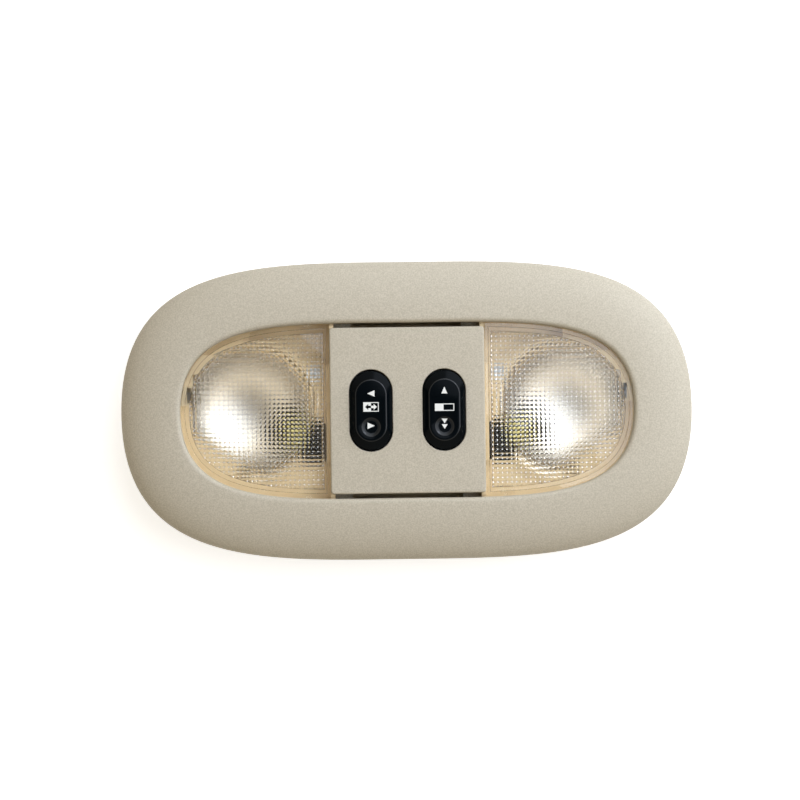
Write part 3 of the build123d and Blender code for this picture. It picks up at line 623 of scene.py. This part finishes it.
# Where a second finish lies on a moulding: heights of the normals there, and the reach below its top
maskedRim = {"tilt": (0.97, 1.01), "depth": 0.05 * mm}  # bare plastic, masked while the bowl is silvered
rubbedRidge = {"tilt": (0.84, 0.995), "depth": 1.2 * mm}  # rubbed bright by fingers, as the wall of the dish is


def addTwoTone(node, second, where):
    piece = smoothCopy(node, node + "_moulding")
    piece.data.materials.append(second)
    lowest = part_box(node)[1].z - where["depth"]
    steepest, flattest = where["tilt"]
    for face in piece.data.polygons:
        if steepest < face.normal.z < flattest and face.center.z > lowest:
            face.material_index = 1
    standFor(piece, node)
    print(piece.name, sum(face.material_index for face in piece.data.polygons), "faces in the second finish")


rubbedAbs = moulding("rubbed_black_abs")
for node in ("left_reflector", "right_reflector"):
    addTwoTone(node, finishes["housing_plastic"], maskedRim)
for node in ("window_rocker", "roof_rocker"):
    addTwoTone(node, rubbedAbs, rubbedRidge)


def addPressed(side, kind):
    node = side + "_" + kind
    piece = smoothCopy(node, node + "_pressed")
    standFor(piece, node)
    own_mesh(piece)


for side in ("left", "right"):
    addPressed(side, "plunger_spring")
for side in ("window", "roof"):
    addPressed(side, "dome_mat")

# Marks printed on the knobs: triangles for each way, and a plain picture of what the knob works between them
marks = {
    "ink": 0.05 * mm,  # thickness of the printed layer
    "border": 0.38 * mm,
    "stencil": 8 * mm,  # height of the cutters
    "window": {
        "triangles": ((7.9, 3.0, 3.4, 90), (-7.1, 3.0, 3.4, -90)),  # height on the knob, width, length, turn
        "picture": (1.65, 7.2, 4.4),  # height on the knob, width, height
        "arrow": (2.75, 1.5, 1.4, 0.55),  # reach, length of the head, half its width, half the shaft
        "overlap": 1.1,  # the shaft runs on into the head by a tenth of its length
    },
    "roof": {
        "triangles": ((9.1, 2.8, 3.2, 0), (-5.3, 2.8, 2.2, 180), (-7.9, 2.8, 2.2, 180)),
        "picture": (1.1, 9.0, 3.4),
        "panel": 0.45,  # share of the picture that the sliding panel fills
    },
}


# A cutter with three sides or four, centred on a point of the knob's face
def stencilBlock(middle, width, length, sides=4, turn=0):
    if sides == 3:
        # a triangle of radius 1 is the root of 3 wide and 1.5 high
        bpy.ops.mesh.primitive_cylinder_add(vertices=3, radius=1, depth=marks["stencil"])
        grow = (width / math.sqrt(3), length / 1.5, 1)
    else:
        bpy.ops.mesh.primitive_cube_add(size=1)
        grow = (width, length, marks["stencil"])
    cutter = bpy.context.active_object
    bpy.ops.object.mode_set(mode="EDIT")
    bpy.ops.mesh.select_all(action="SELECT")
    bpy.ops.transform.resize(value=grow, center_override=(0, 0, 0))
    if sides == 3:
        bpy.ops.transform.translate(value=(0, -length / 6, 0))
    bpy.ops.transform.rotate(value=math.radians(-turn), orient_axis="Z", center_override=(0, 0, 0))
    bpy.ops.transform.translate(value=middle)
    bpy.ops.object.mode_set(mode="OBJECT")
    return cutter


def windowPicture(x, z):
    y, width, height = (value * mm for value in marks["window"]["picture"])
    reach, head, half, shaft = (value * mm for value in marks["window"]["arrow"])
    picture = stencilBlock((x, y, z), width, height)
    glass = width / 2 - marks["border"]
    combine(picture, stencilBlock((x + glass / 2, y, z), glass, height - 2 * marks["border"]), "DIFFERENCE")
    for side, operation in ((-1, "DIFFERENCE"), (1, "UNION")):
        tip = stencilBlock((x + side * (reach - head / 2), y, z), 2 * half, head, 3, -90 * side)
        stem = (reach - head) * marks["window"]["overlap"]
        combine(tip, stencilBlock((x + side * stem / 2, y, z), stem, 2 * shaft), "UNION")
        combine(picture, tip, operation)
    return picture


def roofPicture(x, z):
    y, width, height = (value * mm for value in marks["roof"]["picture"])
    picture = stencilBlock((x, y, z), width, height)
    opening = (1 - marks["roof"]["panel"]) * width - marks["border"]
    place = (x + width / 2 - marks["border"] - opening / 2, y, z)
    combine(picture, stencilBlock(place, opening, height - 2 * marks["border"]), "DIFFERENCE")
    return picture


# The ink is the thin layer that a lifted copy of the knob leaves inside the stencil
def printMarks(name, picture):
    node = name + "_rocker"
    low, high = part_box(node)
    x, z = (low.x + high.x) / 2, high.z
    stencil = picture(x, z)
    for y, width, length, turn in marks[name]["triangles"]:
        combine(stencil, stencilBlock((x, y * mm, z), width * mm, length * mm, 3, turn), "UNION")
    ink = smoothCopy(node, name + "_marks")
    bpy.ops.object.mode_set(mode="EDIT")
    bpy.ops.mesh.select_all(action="SELECT")
    bpy.ops.transform.translate(value=(0, 0, marks["ink"]))
    bpy.ops.object.mode_set(mode="OBJECT")
    combine(ink, stencil, "INTERSECT")
    combine(ink, smoothCopy(node, node + "_core"), "DIFFERENCE")
    selectOnly(ink)
    bpy.ops.object.shade_smooth_by_angle(angle=math.radians(smooth["angle"]))
    paint(ink, padInk)
    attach(ink, bodyOf[node])
    print(ink.name, len(ink.data.polygons), "faces")


padInk = moulding("white_pad_ink")
printMarks("window", windowPicture)
printMarks("roof", roofPicture)
